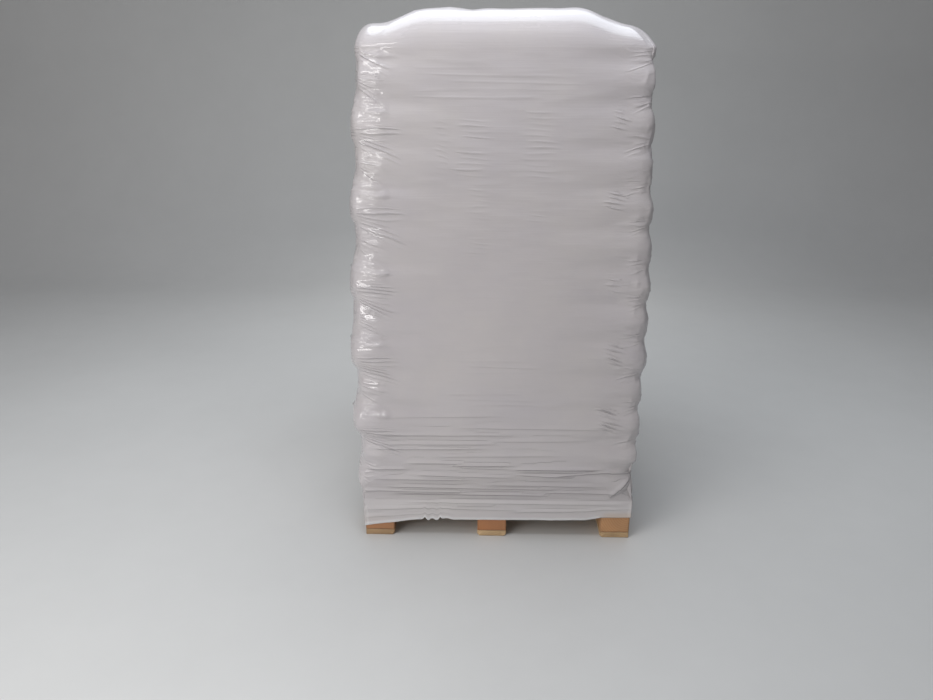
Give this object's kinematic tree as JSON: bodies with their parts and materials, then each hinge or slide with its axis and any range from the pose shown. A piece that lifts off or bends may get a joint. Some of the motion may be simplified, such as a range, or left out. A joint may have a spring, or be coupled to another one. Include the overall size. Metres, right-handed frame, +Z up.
{
  "type": "pallet of sacks",
  "caption": "Wooden block pallet stacked with crosswise layers of filled plastic sacks, held by a white stretch hood pulled over the load and gathered under the deck.",
  "frame": {"origin": "on the floor under the middle of the pallet", "axes": "+Z up, +X to the right of someone facing the front, -Y out of the front face, where the ends of the runners show"},
  "size_m": [1.0682, 1.2614, 1.8623],
  "materials": {
    "runner_wood": "sawn pine, pale",
    "block_wood": "sawn pine block, end grain out, warm brown",
    "board_wood": "sawn pine boards",
    "sack_film": "filled white plastic sack, matt",
    "hood_film": "milky white stretch film, semi-gloss, wrinkled"
  },
  "bodies": {
    "root": {"runner_left": "runner_wood", "runner_middle": "runner_wood", "runner_right": "runner_wood", "block_front_left": "block_wood", "block_centre_left": "block_wood", "block_back_left": "block_wood", "block_front_middle": "block_wood", "block_centre_middle": "block_wood", "block_back_middle": "block_wood", "block_front_right": "block_wood", "block_centre_right": "block_wood", "block_back_right": "block_wood", "stringer_front": "board_wood", "stringer_centre": "board_wood", "stringer_back": "board_wood", "deck_board_1": "board_wood", "deck_board_2": "board_wood", "deck_board_3": "board_wood", "deck_board_4": "board_wood", "deck_board_5": "board_wood", "deck_board_6": "board_wood", "deck_board_7": "board_wood", "sack_layer_01": "sack_film", "sack_layer_02": "sack_film", "sack_layer_03": "sack_film", "sack_layer_04": "sack_film", "sack_layer_05": "sack_film", "sack_layer_06": "sack_film", "sack_layer_07": "sack_film", "sack_layer_08": "sack_film", "sack_layer_09": "sack_film", "sack_layer_10": "sack_film", "sack_layer_11": "sack_film", "sack_layer_12": "sack_film", "sack_layer_13": "sack_film", "stretch_hood": "hood_film"}
  },
  "joints": []
}
